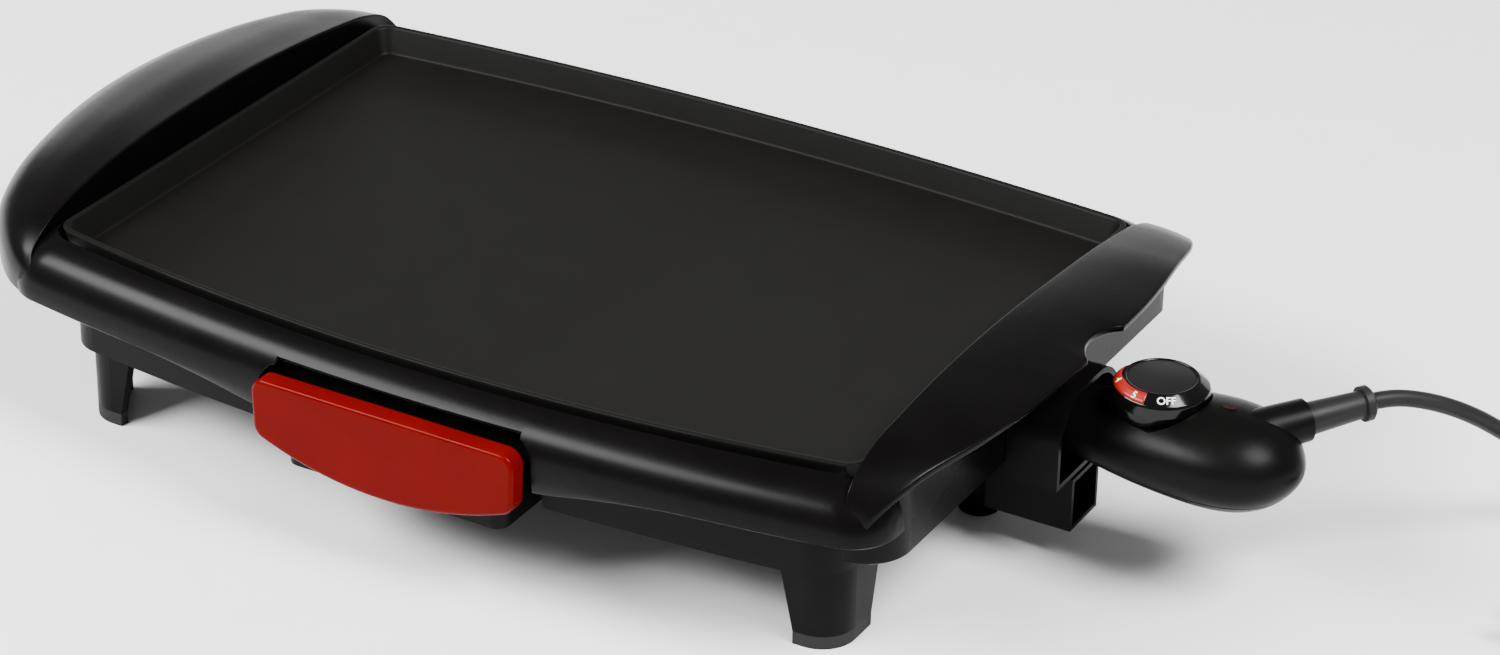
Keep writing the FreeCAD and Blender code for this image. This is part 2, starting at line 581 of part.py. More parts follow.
def drawer_front():
    """The red front: straight top, sides that lean in a little, and a bowed lower edge."""
    top, side_bottom, middle_bottom = PANEL_TOP, 52.0, 38.5
    half = PANEL_HALF_WIDTH
    face = [Part.makeLine(Vector(-half, PANEL_BACK_Y, top), Vector(half, PANEL_BACK_Y, top)),
            Part.makeLine(Vector(half, PANEL_BACK_Y, top), Vector(half - 1, PANEL_BACK_Y, side_bottom)),
            Part.Arc(Vector(half - 1, PANEL_BACK_Y, side_bottom), Vector(0, PANEL_BACK_Y, middle_bottom),
                     Vector(1 - half, PANEL_BACK_Y, side_bottom)).toShape(),
            Part.makeLine(Vector(1 - half, PANEL_BACK_Y, side_bottom), Vector(-half, PANEL_BACK_Y, top))]
    block = Part.Face(Part.Wire(face)).extrude(Vector(0, PANEL_FACE_Y - PANEL_BACK_Y, 0))
    along = [edge for edge in block.Edges if abs(edge.tangentAt(edge.FirstParameter).y) > 0.9]
    block = block.makeFillet(7.0, along)
    rim = [edge for edge in block.Edges if edge.BoundBox.YMax < PANEL_FACE_Y + 0.1]
    block = block.makeFillet(2.0, rim)
    for x in (-35.0, 35.0):
        block = block.cut(rod((x, PANEL_BACK_Y + 1, 48.0), Y_AXIS * -1, 1.45, 6.0))
    return block


def drawer_screws():
    return Part.makeCompound([screw((x, DRAWER_FRONT_Y + 4.0, 48.0), Y_AXIS * -1, 3.0, 1.5, 1.4, 7.0)
                              for x in (-35.0, 35.0)])


# ---------------------------------------------------------------- controller

BODY_SECTIONS = [
    # x, half width, half height, height of its middle
    (222.0, 18.0, 11.5, 64.5), (240.0, 20.0, 13.2, 64.6), (254.0, 23.0, 15.8, 65.0),
    (270.0, 26.5, 18.8, 65.8), (288.0, 29.0, 21.0, 66.5), (305.0, 29.6, 21.8, 66.8),
    (320.0, 26.8, 20.0, 66.8), (331.0, 20.0, 15.0, 66.8), (336.5, 13.0, 9.8, 66.8),
    (339.6, 6.5, 4.9, 66.8), (340.6, 1.5, 1.1, 66.8)]
BODY_SCREWS = [(318.0, -11.0), (312.0, 14.0)]
NECK_RADIUS = 10.2


def body_solid(inset):
    wires = []
    for x, half_width, half_height, middle in BODY_SECTIONS:
        if half_height - inset < 0.9:
            continue
        shift = inset if x < 230 else (-inset if x > 330 else 0.0)
        centre = Vector(x + shift, LINE_Y, middle)
        oval = Part.Ellipse(centre + Y_AXIS * (half_width - inset), centre + Z_AXIS * (half_height - inset),
                            centre)
        wires.append(Part.Wire(oval.toShape()))
    return loft(wires)


def neck_cone(grow):
    """The swelling of the upper shell towards the strain relief."""
    along = (RELIEF_END - RELIEF_START).normalize()
    base = RELIEF_START - along * 26.0
    return Part.makeCone(NECK_RADIUS + grow, 9.3 + grow, 26.0, base, along)


def controller_outer():
    return body_solid(0.0).fuse(neck_cone(0.0))


def controller_cavity():
    inside = body_solid(SHELL_WALL)
    along = (RELIEF_END - RELIEF_START).normalize()
    neck = neck_cone(-SHELL_WALL)
    return inside.fuse(neck.cut(Part.makeCylinder(40, 20, RELIEF_START - along * 2.6, along)))


def above_seam(shape):
    return shape.common(box(200, 380, -60, 90, SEAM_Z, 120))


def below_seam(shape):
    return shape.common(box(200, 380, -60, 90, 20, SEAM_Z))


def nose_openings():
    holes = [rod((215, LINE_Y + side * PIN_SPACING, PIN_Z), X_AXIS, PIN_RADIUS + 0.5, 15)
             for side in (-1, 1)]
    holes.append(rod((215, LINE_Y, PIN_Z), X_AXIS, PROBE_RADIUS + 0.1, 15))
    return fuse(holes)


def relief_hole():
    along = (RELIEF_END - RELIEF_START).normalize()
    return Part.makeCylinder(5.35, 20, RELIEF_START - along * 12.0, along)


def controller_upper_shell():
    outer = controller_outer()
    shell = above_seam(outer.cut(controller_cavity()))
    seat = rod((KNOB_X, LINE_Y, KNOB_BOTTOM - 3.0), Z_AXIS, KNOB_RADIUS + 2.6, 14.0).common(outer)
    bosses = [rod((x, LINE_Y + y, SEAM_Z), Z_AXIS, 3.3, 40.0).common(outer) for x, y in BODY_SCREWS]
    shell = shell.fuse([seat] + bosses)
    shell = shell.cut(rod((KNOB_X, LINE_Y, KNOB_BOTTOM - 0.3), Z_AXIS, KNOB_RADIUS + 0.5, 20.0))
    shell = shell.cut(rod((KNOB_X, LINE_Y, KNOB_BOTTOM - 8.0), Z_AXIS, 3.3, 20.0))
    for x, y in BODY_SCREWS:
        shell = shell.cut(rod((x, LINE_Y + y, SEAM_Z - 1), Z_AXIS, 1.35, 12.0))
    shell = shell.cut(nose_openings()).cut(relief_hole())
    return shell.cut(lamp_opening(0.1))


def controller_lower_shell():
    outer = controller_outer()
    shell = below_seam(outer.cut(controller_cavity()))
    groove = outer.common(box(200, 380, -60, 90, SEAM_Z - SEAM_WIDTH, SEAM_Z)).cut(body_solid(SEAM_WIDTH))
    shell = shell.cut(groove)
    posts = [rod((x, LINE_Y + y, 30.0), Z_AXIS, 4.2, SEAM_Z - 30.0).common(outer) for x, y in BODY_SCREWS]
    shell = shell.fuse(posts)
    for x, y in BODY_SCREWS:
        shell = shell.cut(rod((x, LINE_Y + y, 30.0), Z_AXIS, 1.7, 30.0))
        shell = shell.cut(rod((x, LINE_Y + y, 30.0), Z_AXIS, 3.1, 22.4))
    return shell


def controller_screws():
    return Part.makeCompound([screw((x, LINE_Y + y, 50.8), Z_AXIS, 2.8, 1.6, 1.3, 12.0)
                              for x, y in BODY_SCREWS])


LAMP_CENTRE = (305.5, LINE_Y + 1.0)


def lamp_opening(grow):
    x, y = LAMP_CENTRE
    oval = Part.Ellipse(Vector(x + 3.4 + grow, y, 80.0), Vector(x, y + 1.8 + grow, 80.0), Vector(x, y, 80.0))
    return Part.Face(Part.Wire(oval.toShape())).extrude(Vector(0, 0, 20.0))


def pilot_lens():
    return lamp_opening(0.0).common(box(290, 320, -10, 20, 84.2, 88.9))


def pilot_lamp():
    x, y = LAMP_CENTRE
    return fuse([rod((x, y, 76.0), Z_AXIS, 2.3, 7.8), rod((x, y, 72.0), Z_AXIS, 0.4, 5.0)])


def control_knob():
    """A skirted knob with a shallow dished top and a bore for its spindle."""
    edge = KNOB_RADIUS
    solid = spin_profile([
        (0.0, KNOB_BOTTOM), (edge - 1.5, KNOB_BOTTOM), (edge, KNOB_BOTTOM + 7.0),
        (edge - 0.4, KNOB_BOTTOM + 10.5), (edge - 2.2, KNOB_TOP - 1.6), (edge - 4.2, KNOB_TOP),
        (16.6, KNOB_TOP), (16.6, KNOB_TOP - 0.8), (0.0, KNOB_TOP - 0.8)], (KNOB_X, LINE_Y, 0))
    hollow = spin_profile([(6.0, KNOB_BOTTOM - 1), (edge - 3.5, KNOB_BOTTOM - 1),
                           (edge - 4.0, KNOB_TOP - 4.0), (6.0, KNOB_TOP - 4.0)], (KNOB_X, LINE_Y, 0))
    solid = solid.cut(hollow)
    return solid.cut(rod((KNOB_X, LINE_Y, KNOB_BOTTOM - 1), Z_AXIS, 3.05, 11.0))


def dial_disc():
    """The printed dial laid in the knob's top."""
    return rod((KNOB_X, LINE_Y, KNOB_TOP - 0.8), Z_AXIS, 16.5, 0.8)


def thermostat_spindle():
    return rod((KNOB_X, LINE_Y, 68.3), Z_AXIS, 3.0, KNOB_BOTTOM + 9.5 - 68.3)


def spindle_bush():
    return ring((KNOB_X, LINE_Y, 68.0), Z_AXIS, 6.0, 3.06, 5.5)


def thermostat_body():
    base = box(262.0, 296.0, LINE_Y - 12.0, LINE_Y + 12.0, 57.5, 68.0)
    return base.cut(rod((KNOB_X, LINE_Y, 60.0), Z_AXIS, 1.6, 10.0))


def bimetal_switch():
    """The contact leaves on the thermostat's far end."""
    leaves = [box(296.0, 304.0, LINE_Y - 9 + step * 7.0, LINE_Y - 5 + step * 7.0, 60.0 + step, 60.6 + step)
              for step in range(3)]
    post = box(296.0, 299.0, LINE_Y - 10.0, LINE_Y + 10.0, 58.0, 66.0)
    return fuse([post] + leaves)


def temperature_probe():
    tube = rod((184.0, LINE_Y, PIN_Z), X_AXIS, PROBE_RADIUS, 78.0)
    tip = Part.makeSphere(PROBE_RADIUS, Vector(184.0, LINE_Y, PIN_Z))
    return fuse([tube, tip])


def probe_clip():
    """Earthing spring round the probe."""
    return ring((232.0, LINE_Y, PIN_Z), X_AXIS, PROBE_RADIUS + 1.2, PROBE_RADIUS + 0.02, 5.0)


def receptacles():
    """The two sockets that grip the element's pins."""
    return Part.makeCompound([
        ring((225.0, LINE_Y + side * PIN_SPACING, PIN_Z), X_AXIS, 3.2, PIN_RADIUS + 0.1, 19.0)
        for side in (-1, 1)])


def inner_wires():
    return Part.makeCompound([
        rod((244.0, LINE_Y + side * (PIN_SPACING - 0.5), PIN_Z), X_AXIS, 1.2, 18.0)
        for side in (-1, 1)])


def strain_relief():
    """A tapered boot with a round collar at its outer end and a groove where the shell holds it."""
    along = (RELIEF_END - RELIEF_START).normalize()
    length = (RELIEF_END - RELIEF_START).Length
    profile = [(0.0, -11.0), (5.3, -11.0), (5.3, 0.0), (7.2, 0.0), (6.0, length - 4.5),
               (7.7, length - 4.3), (7.7, length - 1.2), (6.4, length), (0.0, length)]
    return spin_profile(profile, RELIEF_START, along)


def cord_clamp():
    block = box(299.0, 311.0, LINE_Y - 2.0, LINE_Y + 6.0, 57.0, 61.0)
    return block


# ---------------------------------------------------------------- lead and plug

def mains_cord():
    return rounded_rod(CORD_ROUTE, CORD_RADIUS)


def mains_cord_tail():
    return rounded_rod(TAIL_ROUTE, CORD_RADIUS)


def mains_cord_coil():
    coil = ring(tuple(COIL_CENTRE), Z_AXIS, COIL_OUTER, COIL_INNER, COIL_HEIGHT)
    return coil.makeFillet(3.0, [edge for edge in coil.Edges if edge.Closed])


PLUG_AXIS = Vector(-1, 0, 0)
PLUG_START = Vector(484.0, 37.0, 17.6)


def mains_plug():
    profile = [(0.0, 0.0), (5.6, 0.0), (7.2, 13.0), (10.5, 18.0), (16.0, 24.0), (PLUG_RADIUS, 29.0),
               (PLUG_RADIUS, 36.0), (PLUG_RADIUS - 0.7, 36.8), (0.0, 36.8)]
    return spin_profile(profile, PLUG_START, PLUG_AXIS)


def plug_pins():
    pins = []
    for side in (-1, 1):
        base = PLUG_START + PLUG_AXIS * 36.8 + Y_AXIS * (side * 9.5)
        pins.append(Part.makeCylinder(2.4, 18.0, base, PLUG_AXIS)
                    .fuse(Part.makeSphere(2.4, base + PLUG_AXIS * 18.0)).removeSplitter())
    return Part.makeCompound(pins)


# ---------------------------------------------------------------- fasteners

def plate_screws():
    return Part.makeCompound([screw((x, y, 41.0), Z_AXIS, 3.6, 2.5, 1.75, PLATE_BOTTOM + 1.0 - 43.5)
                              for x, y in POST_POINTS])


def housing_screws():
    return Part.makeCompound([screw((x, boss_y(x, side), FLANGE_Z - 2.0), Z_AXIS, 3.2, 2.0, 1.5, 14.0)
                              for x, side in BOSS_POINTS])


parts["cooking_plate"] = cooking_plate()
parts["heating_element"] = heating_element()
parts["element_clamps"] = element_clamps()
parts["terminal_block"] = terminal_block()
parts["terminal_pins"] = terminal_pins()
parts["probe_sleeve"] = probe_sleeve()
parts["heat_reflector"] = heat_reflector()
parts["upper_housing"] = upper_housing()
parts["lower_chassis"] = lower_chassis()
parts["foot_pads"] = foot_pads()
parts["centre_foot"] = centre_foot()
parts["socket_hood"] = socket_hood()
parts["plate_screws"] = plate_screws()
parts["housing_screws"] = housing_screws()
parts["drip_tray"] = drip_tray()
parts["drawer_front"] = drawer_front()
parts["drawer_screws"] = drawer_screws()
parts["controller_upper_shell"] = controller_upper_shell()
parts["controller_lower_shell"] = controller_lower_shell()
parts["controller_screws"] = controller_screws()
parts["pilot_lens"] = pilot_lens()
parts["pilot_lamp"] = pilot_lamp()
parts["control_knob"] = control_knob()
parts["dial_disc"] = dial_disc()
parts["thermostat_spindle"] = thermostat_spindle()
parts["spindle_bush"] = spindle_bush()
parts["thermostat_body"] = thermostat_body()
parts["bimetal_switch"] = bimetal_switch()
parts["temperature_probe"] = temperature_probe()
parts["probe_clip"] = probe_clip()
parts["receptacles"] = receptacles()
parts["inner_wires"] = inner_wires()
parts["cord_clamp"] = cord_clamp()
parts["strain_relief"] = strain_relief()
parts["mains_cord"] = mains_cord()
parts["mains_cord_tail"] = mains_cord_tail()
parts["mains_cord_coil"] = mains_cord_coil()
parts["mains_plug"] = mains_plug()
parts["plug_pins"] = plug_pins()

LEAD_PARTS = ("mains_cord", "mains_cord_tail", "mains_cord_coil", "mains_plug", "plug_pins")

os.makedirs("parts", exist_ok=True)
for name, shape in parts.items():
    shape.translate(Vector(-ORIGIN_X, -ORIGIN_Y, 0))
    shape.exportStep("parts/" + name + ".step")
    if not shape.isValid():
        print("not valid:", name)

whole = Part.makeCompound([shape for name, shape in parts.items() if name not in LEAD_PARTS])
limits = whole.optimalBoundingBox(False)
print("box without the lead: x %.3f %.3f  y %.3f %.3f  z %.3f %.3f"
      % (limits.XMin, limits.XMax, limits.YMin, limits.YMax, limits.ZMin, limits.ZMax))
print(len(parts), "parts")
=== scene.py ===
"""Electric griddle: the looks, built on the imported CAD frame.

Points are drawn in mm round the centre of the cooking plate, with Z up from the table; mm() turns
them into metres in the record's frame.
"""
import math
from collections import namedtuple

import bmesh
import bpy
import numpy as np
from mathutils import Matrix, Vector


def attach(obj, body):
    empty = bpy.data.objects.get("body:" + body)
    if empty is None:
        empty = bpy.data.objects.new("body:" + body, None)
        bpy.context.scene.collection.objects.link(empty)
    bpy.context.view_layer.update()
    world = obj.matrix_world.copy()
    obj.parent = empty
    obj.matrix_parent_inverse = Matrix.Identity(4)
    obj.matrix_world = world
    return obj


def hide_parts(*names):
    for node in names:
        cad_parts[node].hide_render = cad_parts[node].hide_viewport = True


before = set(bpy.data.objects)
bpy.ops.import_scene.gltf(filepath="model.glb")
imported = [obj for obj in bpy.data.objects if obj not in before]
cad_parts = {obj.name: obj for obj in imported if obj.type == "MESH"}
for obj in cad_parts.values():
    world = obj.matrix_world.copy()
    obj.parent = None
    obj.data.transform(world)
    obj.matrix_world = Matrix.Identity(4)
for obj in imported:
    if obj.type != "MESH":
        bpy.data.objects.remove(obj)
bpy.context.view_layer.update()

ORIGIN = (37.31, -8.85, 0.0)     # where the record's origin lies in the drawing, in mm


def mm(*point):
    """A point of the drawing, in metres in the record's frame."""
    return Vector([(value - shift) / 1000.0 for value, shift in zip(point, ORIGIN)])


# ---------------------------------------------------------------- camera

AZIMUTH, ELEVATION, ROLL = math.radians(29.355), math.radians(28.588), math.radians(1.056)
CAMERA_PLACE = (896.26, -1453.44, 972.22)
FOCAL_LENGTH, SENSOR_WIDTH = 103.54, 36.0
CLIP_END = 50.0


def make_camera():
    back = Vector((math.sin(AZIMUTH) * math.cos(ELEVATION),
                   -math.cos(AZIMUTH) * math.cos(ELEVATION), math.sin(ELEVATION)))
    level = Vector((math.cos(AZIMUTH), math.sin(AZIMUTH), 0.0))
    upright = back.cross(level)
    right = math.cos(ROLL) * level + math.sin(ROLL) * upright
    up = -math.sin(ROLL) * level + math.cos(ROLL) * upright
    data = bpy.data.cameras.new("camera")
    data.lens = FOCAL_LENGTH
    data.sensor_width = SENSOR_WIDTH
    data.clip_end = CLIP_END
    camera = bpy.data.objects.new("camera", data)
    bpy.context.scene.collection.objects.link(camera)
    turn = Matrix((right, up, back)).transposed().to_4x4()
    camera.matrix_world = Matrix.Translation(mm(*CAMERA_PLACE)) @ turn
    bpy.context.scene.camera = camera


make_camera()


# ---------------------------------------------------------------- materials

PATCH_SCALE, PATCH_DETAIL = 40.0, 4.0    # broad patches of colour and gloss
GRAIN_DETAIL = 2.0
NOISE_LOW, NOISE_HIGH = 0.3, 0.7         # the part of the noise that spans the whole variation
BUMP_DEPTH = 0.0001

FINISHES = {
    "nonstick_plate": dict(colour=(0.0042, 0.0040, 0.0037), rough=0.46, specular=0.06, grain=1500,
                           bump=0.35, vary=0.06, rough_vary=0.01),
    "element_steel": dict(colour=(0.20, 0.19, 0.18), rough=0.45, metallic=1.0),
    "sheet_steel": dict(colour=(0.55, 0.55, 0.54), rough=0.35, metallic=1.0),
    "ceramic_block": dict(colour=(0.50, 0.46, 0.40), rough=0.7),
    "plated_pins": dict(colour=(0.66, 0.65, 0.62), rough=0.22, metallic=1.0),
    "aluminised_sheet": dict(colour=(0.50, 0.51, 0.52), rough=0.4, metallic=1.0),
    "gloss_black": dict(colour=(0.0016, 0.0013, 0.0013), rough=0.27, specular=0.07, bump=0.03,
                        rough_vary=0.02),
    "satin_black": dict(colour=(0.0020, 0.0018, 0.0018), rough=0.36, specular=0.06, bump=0.10),
    "matte_black": dict(colour=(0.0021, 0.0020, 0.0019), rough=0.34, specular=0.06, bump=0.22,
                        grain=3000),
    "foot_rubber": dict(colour=(0.012, 0.012, 0.012), rough=0.7, specular=0.2, bump=0.3),
    "zinc_steel": dict(colour=(0.55, 0.55, 0.53), rough=0.30, metallic=1.0),
    "gloss_red": dict(colour=(0.084, 0.0, 0.0), rough=0.18, specular=0.04, vary=0.05, bump=0.02),
    "lamp_lens": dict(colour=(0.010, 0.0030, 0.0025), rough=0.15, specular=0.3),
    "lamp_glass": dict(colour=(0.5, 0.3, 0.25), rough=0.1),
    "gloss_black_knob": dict(colour=(0.0016, 0.0015, 0.0015), rough=0.14, specular=0.22,
                             bump=0.02),
    "dial_print": dict(colour=(0.0070, 0.0070, 0.0072), rough=0.35, specular=0.08),
    "brass": dict(colour=(0.60, 0.44, 0.20), rough=0.3, metallic=1.0),
    "probe_steel": dict(colour=(0.50, 0.49, 0.47), rough=0.28, metallic=1.0),
    "wire_red": dict(colour=(0.25, 0.01, 0.01), rough=0.4),
    "cord_rubber": dict(colour=(0.0095, 0.0095, 0.0098), rough=0.45, specular=0.15, bump=0.1),
    "plug_rubber": dict(colour=(0.0095, 0.0095, 0.0095), rough=0.48, specular=0.25, bump=0.2),
    # the three below are not slots of the record
    "dial_white": dict(colour=(0.75, 0.74, 0.73), rough=0.45, specular=0.3, vary=0.03),
    "dial_red": dict(colour=(0.20, 0.006, 0.003), rough=0.35, specular=0.3, vary=0.05),
    "floor_finish": dict(colour=(0.82, 0.82, 0.82), rough=0.6, specular=0.1, vary=0.01, bump=0.02),
}


def noise(nodes, links, scale, detail):
    where = nodes.new("ShaderNodeTexCoord")
    texture = nodes.new("ShaderNodeTexNoise")
    texture.inputs["Scale"].default_value = scale
    texture.inputs["Detail"].default_value = detail
    links.new(where.outputs["Object"], texture.inputs["Vector"])
    return texture.outputs["Fac"]


def finish_of(name, colour, rough, metallic=0.0, specular=0.5, vary=0.12, rough_vary=0.06,
              grain=2500.0, bump=0.05):
    """A solid finish whose colour, gloss and grain vary a little over the surface."""
    material = bpy.data.materials.new(name)
    material.use_nodes = True
    nodes, links = material.node_tree.nodes, material.node_tree.links
    nodes.clear()
    shader = nodes.new("ShaderNodeBsdfPrincipled")
    out = nodes.new("ShaderNodeOutputMaterial")
    links.new(shader.outputs["BSDF"], out.inputs["Surface"])
    shader.inputs["Metallic"].default_value = metallic
    shader.inputs["Specular IOR Level"].default_value = specular

    patches = noise(nodes, links, PATCH_SCALE, PATCH_DETAIL)
    ramp = nodes.new("ShaderNodeValToRGB")
    low, high = ramp.color_ramp.elements
    low.position, high.position = NOISE_LOW, NOISE_HIGH
    low.color = tuple(c * (1 - vary) for c in colour) + (1,)
    high.color = tuple(min(1, c * (1 + vary)) for c in colour) + (1,)
    links.new(patches, ramp.inputs["Fac"])
    links.new(ramp.outputs["Color"], shader.inputs["Base Color"])

    spread = nodes.new("ShaderNodeMapRange")
    spread.inputs["From Min"].default_value = NOISE_LOW
    spread.inputs["From Max"].default_value = NOISE_HIGH
    spread.inputs["To Min"].default_value = rough - rough_vary
    spread.inputs["To Max"].default_value = rough + rough_vary
    links.new(patches, spread.inputs["Value"])
    links.new(spread.outputs["Result"], shader.inputs["Roughness"])

    raised = nodes.new("ShaderNodeBump")
    raised.inputs["Strength"].default_value = bump
    raised.inputs["Distance"].default_value = BUMP_DEPTH
    links.new(noise(nodes, links, grain, GRAIN_DETAIL), raised.inputs["Height"])
    links.new(raised.outputs["Normal"], shader.inputs["Normal"])
    return material


MATERIALS = {name: finish_of(name, **values) for name, values in FINISHES.items()}

for node_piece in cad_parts.values():
    slot = node_piece.data.materials[0].name.split(".")[0]
    node_piece.data.materials[0] = MATERIALS[slot]


# ---------------------------------------------------------------- meshes and curves

EDGE_ROUND = 1.1
SHARP_ANGLE = math.radians(38.0)


def cubic(points, count):
    """Points spaced along a smooth curve through the given ones."""
    points = np.array(points, float)
    steps = np.linalg.norm(np.diff(points, axis=0), axis=1)
    where = np.concatenate([[0.0], np.cumsum(steps)])
    slopes = np.gradient(points, where, axis=0)
    result = []
    for value in np.linspace(0.0, where[-1], count):
        index = int(np.searchsorted(where, value, side="right")) - 1
        index = min(len(steps) - 1, max(0, index))
        span = steps[index]
        t = (value - where[index]) / span
        result.append((2 * t ** 3 - 3 * t ** 2 + 1) * points[index]
                      + (t ** 3 - 2 * t ** 2 + t) * span * slopes[index]
                      + (3 * t ** 2 - 2 * t ** 3) * points[index + 1]
                      + (t ** 3 - t ** 2) * span * slopes[index + 1])
    return np.array(result)


def corner(before, here, after, radius=EDGE_ROUND, steps=5, most=0.5):
    """A short curve in place of a corner, taking at most a share of the lines beside it."""
    here = Vector(here)
    toward, away = Vector(before) - here, Vector(after) - here
    start = here + toward.normalized() * min(radius, toward.length * most)
    end = here + away.normalized() * min(radius, away.length * most)
    return [tuple(start.lerp(here, step / steps).lerp(here.lerp(end, step / steps), step / steps))
            for step in range(steps + 1)]


def circle(x, y, radius, steps):
    return [(x + radius * math.cos(t), y + radius * math.sin(t))
            for t in np.linspace(0, 2 * math.pi, steps + 1)[:-1]]


def new_piece(name, vertices, faces, finish):
    """A smooth-shaded piece from vertices in metres."""
    mesh = bpy.data.meshes.new(name)
    mesh.from_pydata([tuple(v) for v in vertices], [], faces)
    mesh.update()
    piece = bpy.data.objects.new(name, mesh)
    bpy.context.scene.collection.objects.link(piece)
    mesh.materials.append(MATERIALS[finish])
    for polygon in mesh.polygons:
        polygon.use_smooth = True
    return piece


def tube(name, loops):
    """A closed piece from rings of points in mm, each ring as long, with both ends capped."""
    count = len(loops[0])
    vertices = [mm(*point) for loop in loops for point in loop]
    faces = []
    for row in range(len(loops) - 1):
        for index in range(count):
            after = (index + 1) % count
            faces.append((row * count + index, row * count + after,
                          (row + 1) * count + after, (row + 1) * count + index))
    faces.append(tuple(reversed(range(count))))
    faces.append(tuple((len(loops) - 1) * count + index for index in range(count)))
    piece = new_piece(name, vertices, faces, "gloss_black")
    work = bmesh.new()
    work.from_mesh(piece.data)
    bmesh.ops.recalc_face_normals(work, faces=work.faces)
    if work.calc_volume(signed=True) < 0:
        bmesh.ops.reverse_faces(work, faces=work.faces)
    work.to_mesh(piece.data)
    work.free()
    return piece


def column(name, outline, heights):
    """A closed upright piece with the same outline at each height."""
    return tube(name, [[(x, y, z) for x, y in outline] for z in heights])


def cut(piece, cutter):
    """Take the cutter out of the piece, and the cutter out of the scene."""
    step = piece.modifiers.new("opening", "BOOLEAN")
    step.operation = "DIFFERENCE"
    step.solver = "EXACT"
    step.object = cutter
    bpy.context.view_layer.update()
    changed = piece.evaluated_get(bpy.context.evaluated_depsgraph_get())
    shape = bpy.data.meshes.new_from_object(changed)
    piece.modifiers.clear()
    piece.data = shape
    bpy.data.objects.remove(cutter, do_unlink=True)


def sharpen(piece):
    """Shade the edges between faces that meet at a wide angle as sharp."""
    work = bmesh.new()
    work.from_mesh(piece.data)
    for edge in work.edges:
        edge.smooth = len(edge.link_faces) == 2 and edge.calc_face_angle() < SHARP_ANGLE
    work.to_mesh(piece.data)
    work.free()


def join(pieces, name, finish):
    """One piece out of several."""
    work = bmesh.new()
    for piece in pieces:
        work.from_mesh(piece.data)
    mesh = bpy.data.meshes.new(name)
    work.to_mesh(mesh)
    work.free()
    whole = bpy.data.objects.new(name, mesh)
    bpy.context.scene.collection.objects.link(whole)
    mesh.materials.append(MATERIALS[finish])
    for polygon in mesh.polygons:
        polygon.use_smooth = True
        polygon.material_index = 0
    for piece in pieces:
        bpy.data.objects.remove(piece, do_unlink=True)
    sharpen(whole)
    return whole


# ---------------------------------------------------------------- lead

CORD_RADIUS = 3.75
RUN_POINTS = [                           # from the strain relief down to the coil
    (350.0, 50.5, 81.8), (356.2, 58.4, 82.5), (369.5, 72.0, 77.6), (382.0, 86.0, 68.5),
    (393.0, 100.0, 56.0), (401.0, 113.0, 43.5), (409.0, 125.5, 31.0), (418.0, 137.0, 19.5),
    (429.0, 146.0, 10.5), (442.0, 150.8, 5.2), (456.0, 151.6, 3.95), (466.0, 151.4, 3.9),
]
TAIL_POINTS = [                          # from the coil to the plug
    (509.5, 90.0, 11.3), (509.5, 74.0, 11.8), (509.0, 61.5, 13.2), (506.0, 49.5, 15.3),
    (496.5, 40.5, 17.0), (484.0, 37.0, 17.6),
]
COIL_CENTRE = (466.0, 106.0)
COIL_OUTER, COIL_INNER = 46.3, 38.8      # radii of the two lanes
COIL_BELOW, COIL_ABOVE = 3.9, 11.35      # heights of the two layers
COIL_TURNS, COIL_STEPS = 3.25, 16        # turns, and points in a turn
GO_IN, GO_UP, GO_OUT = (1.0, 1.2), (1.78, 2.0), (2.6, 2.8)     # turns of the changes


def eased(value, start, end):
    """0 before start, 1 after end, and a smooth climb between them."""
    share = min(1.0, max(0.0, (value - start) / (end - start)))
    return share * share * (3 - 2 * share)


def coil_points():
    """The turns of the coil: outer lane below, inner below, inner above, outer above."""
    points = []
    for step in range(1, int(COIL_TURNS * COIL_STEPS)):
        turn = step / COIL_STEPS
        inward = eased(turn, *GO_IN) - eased(turn, *GO_OUT)
        radius = COIL_OUTER + (COIL_INNER - COIL_OUTER) * inward
        height = COIL_BELOW + (COIL_ABOVE - COIL_BELOW) * eased(turn, *GO_UP)
        angle = math.pi / 2 - 2 * math.pi * turn
        points.append((COIL_CENTRE[0] + radius * math.cos(angle),
                       COIL_CENTRE[1] + radius * math.sin(angle), height))
    return points


def cord_curve():
    data = bpy.data.curves.new("mains_lead", "CURVE")
    data.dimensions = "3D"
    spline = data.splines.new("NURBS")
    points = RUN_POINTS + coil_points() + TAIL_POINTS
    spline.points.add(len(points) - 1)
    for place, point in zip(spline.points, points):
        place.co = (*mm(*point), 1.0)
    spline.order_u = 3
    spline.use_endpoint_u = True
    spline.resolution_u = 6
    data.bevel_depth = CORD_RADIUS / 1000.0
    data.bevel_resolution = 5
    data.use_fill_caps = True
    lead = bpy.data.objects.new("mains_lead", data)
    bpy.context.scene.collection.objects.link(lead)
    data.materials.append(MATERIALS["cord_rubber"])
    return lead


lead = cord_curve()
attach(lead, "controller")
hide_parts("mains_cord", "mains_cord_coil", "mains_cord_tail")


# ---------------------------------------------------------------- plate's outline

PLATE_HALF_X, PLATE_HALF_Y = 200.0, 125.0
FRONT_BOW, REAR_BOW = 20.0, 10.0
OPENING_HALF, OPENING_TOP, OPENING_ROUND = 68.5, 81.0, 11.0    # the drawer's opening
MIDDLE_HALF = 150.0                      # the long sides' middle part, with fixed stations
MIDDLE_POINTS, ROUND_POINTS, BEND_POINTS, OUTER_POINTS, LEFT_POINTS = 80, 14, 14, 12, 20

SideArc = namedtuple("SideArc", "big centre_y round_x round_y lean")


